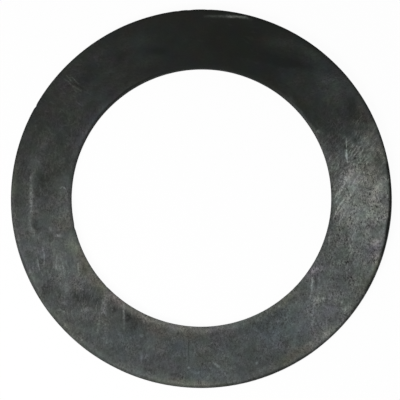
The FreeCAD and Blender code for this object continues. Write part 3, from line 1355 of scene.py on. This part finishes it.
@dataclass(frozen=True)
class CutRubber(Finish):
    """The cut walls: fresh black rubber with the die's fine drag lines.

    Attributes:
        line_pitch: about how far apart the lines are.
        line_length: how much longer than wide they are.
        line_share: how much of the pattern they make up, and the grain makes up the rest.
        grain_size: about how big the grain's forms are.
        dusty_from: the pattern's values between which dust comes to lie on it.
        most_dust: the share of dust on the pattern's peaks.
        rougher: the values between which it gets rougher, and its roughness at both.
        gloss: the rubber's shine, as a share of plain plastic's.
        depth: how deep the pattern is.
    """

    title = "cut_rubber_wall"
    line_pitch: float = 0.35
    line_length: float = 12.0
    line_share: float = 0.6
    grain_size: float = 0.5
    dusty_from: Spot = (0.4, 0.85)
    most_dust: float = 0.06
    rougher: tuple[float, ...] = (0.2, 0.8, 0.5, 0.75)
    gloss: float = 0.02
    depth: float = 0.05

    def dress(self, graph: Graph, shader: Node, place: NodeSocket) -> None:
        """Lines down the wall, in colour, gloss and relief."""
        squashed = graph.vector("MULTIPLY", place, (1.0, 1.0, 1.0 / self.line_length))
        lines = graph.noise(squashed, 1.0 / self.line_pitch, detail=3.0).outputs[0]
        grain = SheetGrain().place(graph, position=place, size=self.grain_size)
        lined = graph.math("MULTIPLY", lines, self.line_share)
        level = graph.math("MULTIPLY_ADD", grain, 1.0 - self.line_share, lined)
        cover = graph.ramp(level, *self.dusty_from, 0.0, self.most_dust)
        graph.feed(shader.inputs["Base Color"], graph.mix(cover, RUBBER_BLACK, DUST_GREY))
        graph.feed(shader.inputs["Roughness"], graph.ramp(level, *self.rougher))
        shader.inputs["Specular IOR Level"].default_value = self.gloss
        self.relief(graph, shader, level, self.depth)


@dataclass(frozen=True)
class SheetBack(Finish):
    """The underside: the sheet's plain back, with a thin even dust.

    Attributes:
        grain_size: about how big the grain's forms are.
        grain_depth: how deep the grain's pits are.
        cloud_size: about how big the film's blotches are.
        least_dust: the share of dust between them.
        more_dust: how much more there is in their middles.
        roughness: how matte it is.
        gloss: the rubber's shine, as a share of plain plastic's.
    """

    title = "rubber_underside"
    grain_size: float = 0.85
    grain_depth: float = 0.03
    cloud_size: float = 14.0
    least_dust: float = 0.06
    more_dust: float = 0.12
    roughness: float = 0.75
    gloss: float = 0.3

    def dress(self, graph: Graph, shader: Node, place: NodeSocket) -> None:
        """An even film of dust, a little cloudy."""
        grain = SheetGrain().place(graph, position=place, size=self.grain_size)
        cloud = Clouds().place(graph, position=place, size=self.cloud_size)
        film = graph.math("MULTIPLY_ADD", cloud, self.more_dust, self.least_dust)
        cover = graph.math("MULTIPLY", film, grain)
        graph.feed(shader.inputs["Base Color"], graph.mix(cover, RUBBER_BLACK, DUST_GREY))
        shader.inputs["Roughness"].default_value = self.roughness
        shader.inputs["Specular IOR Level"].default_value = self.gloss
        self.relief(graph, shader, grain, self.grain_depth)


@dataclass(frozen=True)
class GasketRing:
    """The ring itself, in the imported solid's place and with its section.

    Attributes:
        bore_radius: the bore wall's radius.
        rim_radius: the outer wall's radius.
        thickness: the sheet's thickness.
        roll_width: how far in from a wall the top face starts to droop.
        roll_drop: how far it has dropped at the wall.
        top_corner: how far from a wall's top corner its rounding starts.
        under_corner: how far from its bottom corner.
        sectors: the equal parts that the ring is spun and repeated in.
        steps: the steps of each sector's spin.
        corner_segments: the steps of each rounded corner.
        face_cuts: the points that part the section's level top.
        roll_cuts: those of each drooping edge.
        wall_cuts: those of each wall.
        under_cuts: those of the underside.
        weld: how close two points are to be made one.
        wear_reach: how far in from a wall its wear still moves the rubber.
        drag: how deep the die's drag lines are.
        drag_scale: their scale round the wall and down it.
        sway: how far a wall strays slowly from its circle.
        sway_scale: the scale of that.
        hollow: how far a wall is drawn in at half its height.
        rim_throw: how far the outer wall's circle is off centre.
        throw_bearing: which way it is off.
        lift: how strongly the sheet waves up and down.
        lift_size: about how long a wave is.
        lift_start: where in the noise the waves are taken from.
    """

    bore_radius: float
    rim_radius: float
    thickness: float
    roll_width: float = 1.4
    roll_drop: float = 0.35
    top_corner: float = 0.18
    under_corner: float = 0.15
    sectors: int = 12
    steps: int = 60
    corner_segments: int = 4
    face_cuts: int = 40
    roll_cuts: int = 5
    wall_cuts: int = 5
    under_cuts: int = 14
    weld: float = 0.01
    wear_reach: float = 3.0
    drag: float = 0.012
    drag_scale: Spot = (0.9, 0.12)
    sway: float = 0.03
    sway_scale: float = 0.09
    hollow: float = 0.04
    rim_throw: float = 0.1
    throw_bearing: float = -125.0
    lift: float = 0.35
    lift_size: float = 48.0
    lift_start: tuple[float, float, float] = (3.7, 1.2, 0.4)

    @classmethod
    def from_frame(cls, packed: dict) -> "GasketRing":
        """Reads the ring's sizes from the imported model.


        Returns:
            The ring.
        """
        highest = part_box(RING_NODE)[1]
        bore = next(mount for mount in packed["record"]["mounts"] if mount["name"] == Wall.BORE.value)
        return cls(
            bore_radius=bore["dims"]["r_mm"],
            rim_radius=round(highest[0] / MM, 2),
            thickness=round(highest[2] / MM, 3),
        )

    def droop(self, radius: float) -> float:
        """How far the top face has drooped at a radius, along the arc that the die leaves."""
        bend = (self.roll_width**2 + self.roll_drop**2) / (2.0 * self.roll_drop)
        from_wall = min(radius - self.bore_radius, self.rim_radius - radius)
        along = max(self.roll_width - from_wall, 0.0)
        return bend - math.sqrt(bend**2 - along**2)

    def section(self, mesh: BMesh) -> None:
        """Draws the ring's section as one closed wire in the XZ plane.

        Args:
            mesh: the mesh that takes it.
        """
        wall_top = self.thickness - self.roll_drop
        corners = (
            (self.bore_radius, 0.0, self.wall_cuts),
            (self.bore_radius, wall_top, self.roll_cuts),
            (self.bore_radius + self.roll_width, self.thickness, self.face_cuts),
            (self.rim_radius - self.roll_width, self.thickness, self.roll_cuts),
            (self.rim_radius, wall_top, self.wall_cuts),
            (self.rim_radius, 0.0, self.under_cuts),
        )
        points = [mesh.verts.new((radius, 0.0, height)) for radius, height, _ in corners]
        sides = [mesh.edges.new(ends) for ends in zip(points, points[1:] + points[:1])]
        for side, (_, _, cuts) in zip(sides, corners):
            bmesh.ops.subdivide_edges(mesh, edges=[side], cuts=cuts)
        for vert in mesh.verts:
            if vert.co.z > wall_top:
                vert.co.z = self.thickness - self.droop(vert.co.x)
        for radius in (self.bore_radius, self.rim_radius):
            self.ease(mesh, Vector((radius, 0.0, wall_top)), self.top_corner)
            self.ease(mesh, Vector((radius, 0.0, 0.0)), self.under_corner)

    def ease(self, mesh: BMesh, corner: Vector, offset: float) -> None:
        """Rounds one corner of the section.

        Args:
            mesh: the mesh that holds the section.
            corner: where the corner is.
            offset: how far from the corner the rounding starts.
        """
        nearest = min(mesh.verts, key=lambda vert: (vert.co - corner).length)
        bmesh.ops.bevel(
            mesh,
            geom=[nearest],
            offset=offset,
            offset_type="OFFSET",
            segments=self.corner_segments,
            profile=0.5,
            affect="VERTICES",
            material=-1,
        )

    def turn(self, mesh: BMesh) -> None:
        """Turns the section round the bore: one sector by a spin, and the others as copies of it.

        Args:
            mesh: the mesh that holds the section.
        """
        axis = {"cent": (0.0, 0.0, 0.0), "axis": (0.0, 0.0, 1.0), "dvec": (0.0, 0.0, 0.0)}
        sector = math.tau / self.sectors
        wire = [*mesh.verts, *mesh.edges]
        bmesh.ops.spin(mesh, geom=wire, angle=sector, steps=self.steps, use_merge=False, **axis)
        whole = [*mesh.verts, *mesh.edges, *mesh.faces]
        bmesh.ops.spin(
            mesh,
            geom=whole,
            angle=math.tau - sector,
            steps=self.sectors - 1,
            use_duplicate=True,
            use_merge=False,
            **axis,
        )
        bmesh.ops.remove_doubles(mesh, verts=mesh.verts, dist=self.weld)
        bmesh.ops.recalc_face_normals(mesh, faces=mesh.faces)

    def sort_zones(self, mesh: BMesh) -> None:
        """Gives each face of the mesh the finish of its zone, and smooth shading.

        Args:
            mesh: the turned ring, before it is worn.
        """
        wall_top = self.thickness - self.roll_drop
        for face in mesh.faces:
            middle = face.calc_center_median()
            radius = middle.xy.length
            at_wall = min(radius - self.bore_radius, self.rim_radius - radius) < self.under_corner
            if at_wall and middle.z < wall_top:
                face.material_index = Zone.CUT_WALL.value
            elif middle.z < self.under_corner:
                face.material_index = Zone.UNDERSIDE.value
            else:
                face.material_index = Zone.FACE.value
            face.smooth = True

    def wall_shift(self, place: Vector, wall: Wall) -> float:
        """How far a wall lies inside the rubber from its true circle, from the die's drag and the nicks.

        Args:
            place: a point of the wall.
            wall: which wall.

        Returns:
            The shift, in millimetres.
        """
        bearing = math.atan2(place.y, place.x)
        radius = self.rim_radius if wall is Wall.RIM else self.bore_radius
        height = min(max(place.z / self.thickness, 0.0), 1.0)
        around, down = self.drag_scale
        shift = self.drag * noise.noise(Vector((place.x * around, place.y * around, place.z * down)))
        shift += self.sway * noise.noise(place * self.sway_scale)
        shift += self.hollow * math.sin(math.pi * height)
        if wall is Wall.RIM:
            shift -= self.rim_throw * math.cos(bearing - math.radians(self.throw_bearing))
        for nick in NICKS:
            if nick.wall is wall:
                gap = math.remainder(bearing - math.radians(nick.bearing), math.tau) * radius
                shift += nick.depth * math.exp(-((gap / nick.width) ** 2))
        for slant in SLANTS:
            if slant.wall is wall:
                turn = math.remainder(bearing - math.radians(slant.bearing), math.tau)
                share = math.exp(-((turn / math.radians(slant.spread)) ** 2))
                shift += slant.depth * (height - slant.pivot) * share
        return shift

    def wear(self, mesh: BMesh) -> None:
        """Moves the ring's points: the walls' drag, slant and nicks, the crease, the sheet's gentle waves.

        Args:
            mesh: the turned ring.
        """
        for vert in mesh.verts:
            place = vert.co.copy()
            radius = place.xy.length
            outward = Vector((place.x, place.y, 0.0)) / radius
            near_rim = max(1.0 - (self.rim_radius - radius) / self.wear_reach, 0.0)
            near_bore = max(1.0 - (radius - self.bore_radius) / self.wear_reach, 0.0)
            if near_rim > 0.0:
                vert.co -= outward * self.wall_shift(place, Wall.RIM) * near_rim**2
            if near_bore > 0.0:
                vert.co += outward * self.wall_shift(place, Wall.BORE) * near_bore**2
            if place.z > self.thickness / 2:
                vert.co.z -= CREASE.drop(place)
            wave = Vector((place.x, place.y, 0.0)) / self.lift_size
            vert.co.z += self.lift * noise.noise(wave + Vector(self.lift_start))
        lowest = min(vert.co.z for vert in mesh.verts)
        bmesh.ops.translate(mesh, verts=mesh.verts, vec=(0.0, 0.0, -lowest))

    def finishes(self) -> list[Material]:
        """The ring's materials, in the order of its zones."""
        made = {
            Zone.FACE: WornShadedFace(self.bore_radius, self.rim_radius),
            Zone.CUT_WALL: CutRubber(),
            Zone.UNDERSIDE: SheetBack(),
        }
        return [made[zone].material() for zone in Zone]

    def build(self) -> Object:
        """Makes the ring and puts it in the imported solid's place.

        Returns:
            The ring's object.
        """
        mesh = bmesh.new()
        self.section(mesh)
        self.turn(mesh)
        self.sort_zones(mesh)
        self.wear(mesh)
        bmesh.ops.scale(mesh, verts=mesh.verts, vec=(MM, MM, MM))
        data = bpy.data.meshes.new("rubber_ring")
        mesh.to_mesh(data)
        mesh.free()
        for material in self.finishes():
            data.materials.append(material)
        ring = bpy.data.objects.new("rubber_ring", data)
        bpy.context.scene.collection.objects.link(ring)
        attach(ring, ROOT_BODY)
        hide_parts(RING_NODE)
        return ring


@dataclass(frozen=True)
class Lamp:
    """One soft square lamp that faces the ring.

    Attributes:
        title: its name.
        bearing: where it stands.
        height: its elevation above the ground, in degrees.
        distance: how far it is from the ring's middle.
        size: the length of its side.
        level: the light that it gives on a surface that faces it, where 1 renders a colour as written.
    """

    title: str
    bearing: float
    height: float
    distance: float
    size: float
    level: float

    def place(self) -> Object:
        """Puts the lamp in the scene.

        Returns:
            The lamp's object.
        """
        data = bpy.data.lights.new(self.title, "AREA")
        data.shape = "SQUARE"
        data.size = self.size * MM
        data.energy = self.level * math.pi**2 * (self.distance * MM) ** 2
        lamp = bpy.data.objects.new(self.title, data)
        around, up = math.radians(self.bearing), math.radians(self.height)
        away = Vector((math.cos(around) * math.cos(up), math.sin(around) * math.cos(up), math.sin(up)))
        lamp.location = away * self.distance * MM
        lamp.rotation_euler = away.to_track_quat("Z", "Y").to_euler()
        lamp.visible_camera = False
        bpy.context.scene.collection.objects.link(lamp)
        return lamp


@dataclass(frozen=True)
class Studio:
    """The pale ground, the soft light and the sky that the ring is seen in.

    Attributes:
        ground_radius: the ground's radius.
        ground_drop: how far it lies below the ring, so that the two don't share a plane.
        ground_white: its colour under the light.
        own_white: its brightness as the camera sees it.
        own_share: how much of that goes over the colour under the light.
        horizon: the sky's brightness low down.
        zenith: its brightness overhead.
        sky_change: the heights between which it changes, from 0 at the horizon to 1 overhead.
    """

    ground_radius: float = 4000.0
    ground_drop: float = 0.02
    ground_white: Colour = (0.8, 0.8, 0.8)
    own_white: float = 1.0
    own_share: float = 0.96
    horizon: float = 0.55
    zenith: float = 0.25
    sky_change: Spot = (0.3, 0.85)

    def ground(self) -> Object:
        """Lays the ground, which keeps the ring's shadow.

        Returns:
            The ground's object.
        """
        mesh = bmesh.new()
        bmesh.ops.create_circle(mesh, cap_ends=True, segments=64, radius=self.ground_radius * MM)
        bmesh.ops.translate(mesh, verts=mesh.verts, vec=(0.0, 0.0, -self.ground_drop * MM))
        data = bpy.data.meshes.new("ground")
        mesh.to_mesh(data)
        mesh.free()
        data.materials.append(self.paper())
        ground = bpy.data.objects.new("ground", data)
        bpy.context.scene.collection.objects.link(ground)
        return ground

    def paper(self) -> Material:
        """White paper that the camera sees brighter than the light on it makes it.

        Returns:
            The ground's material.
        """
        made = bpy.data.materials.new("white_ground")
        made.use_nodes = True
        tree = made.node_tree
        tree.nodes.clear()
        graph = Graph(tree)
        matte = graph.node("BsdfDiffuse")
        graph.feed(matte.inputs["Color"], self.ground_white)
        glow = graph.node("Emission")
        glow.inputs["Strength"].default_value = self.own_white
        path = graph.node("LightPath")
        seen = graph.math("MAXIMUM", path.outputs["Is Camera Ray"], path.outputs["Is Glossy Ray"])
        seen = graph.math("MAXIMUM", seen, path.outputs["Is Transmission Ray"])
        blend = graph.node("MixShader")
        graph.feed(blend.inputs[0], graph.math("MULTIPLY", seen, self.own_share))
        graph.feed(blend.inputs[1], matte.outputs[0])
        graph.feed(blend.inputs[2], glow.outputs[0])
        end = graph.node("OutputMaterial")
        graph.feed(end.inputs["Surface"], blend.outputs[0])
        return made

    def sky(self) -> None:
        """White at the horizon and darker overhead, as in a studio with a black ceiling."""
        world = bpy.data.worlds.new("studio")
        world.use_nodes = True
        graph = Graph(world.node_tree)
        back = world.node_tree.nodes["Background"]
        parts = graph.node("SeparateXYZ")
        graph.feed(parts.inputs[0], graph.node("TexCoord").outputs["Generated"])
        level = graph.ramp(parts.outputs[2], *self.sky_change, self.horizon, self.zenith)
        graph.feed(back.inputs["Strength"], level)
        back.inputs["Color"].default_value = (1.0, 1.0, 1.0, 1.0)
        bpy.context.scene.world = world

    def build(self) -> None:
        """Sets up the ground, the sky and the lamp."""
        self.ground()
        self.sky()
        Lamp("key", bearing=225.0, height=50.0, distance=380.0, size=180.0, level=0.95).place()


@dataclass(frozen=True)
class PhotoCamera:
    """A long lens almost straight above the ring, with +Y up in the picture.

    Attributes:
        azimuth: where the camera stands, in degrees from -Y towards +X.
        elevation: its height above the ground, in degrees.
        distance: how far it is from what it looks at.
        lens: its focal length.
        aim: the point that it looks at.
        sensor: the width of its picture plane.
    """

    azimuth: float = 8.0
    elevation: float = 83.0
    distance: float = 1300.0
    lens: float = 337.6
    aim: tuple[float, float, float] = (-0.45, -0.89, 1.5)
    sensor: float = 36.0

    def place(self) -> Object:
        """Puts the camera in the scene and makes it the scene's own.

        Returns:
            The camera's object.
        """
        data = bpy.data.cameras.new("photo_camera")
        data.lens = self.lens
        data.sensor_width = self.sensor
        data.clip_start = 0.01
        data.clip_end = 20.0
        camera = bpy.data.objects.new("photo_camera", data)
        around, up = math.radians(self.azimuth), math.radians(self.elevation)
        away = Vector((math.sin(around) * math.cos(up), -math.cos(around) * math.cos(up), math.sin(up)))
        right = Vector((0.0, 1.0, 0.0)).cross(away).normalized()
        axes = Matrix((right, away.cross(right), away)).transposed()
        place = (Vector(self.aim) + away * self.distance) * MM
        camera.matrix_world = Matrix.Translation(place) @ axes.to_4x4()
        bpy.context.scene.collection.objects.link(camera)
        bpy.context.scene.camera = camera
        return camera


def main() -> None:
    """Builds the gasket, the studio and the camera, in that order, and logs the ring's face count."""
    logging.basicConfig(level=logging.INFO, format="%(name)s: %(message)s")
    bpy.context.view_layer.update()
    ring = GasketRing.from_frame(frame).build()
    log.info("%s: %d faces", ring.name, len(ring.data.polygons))
    Studio().build()
    PhotoCamera().place()
    bpy.context.scene.view_settings.view_transform = "Standard"


if __name__ == "__main__":
    main()
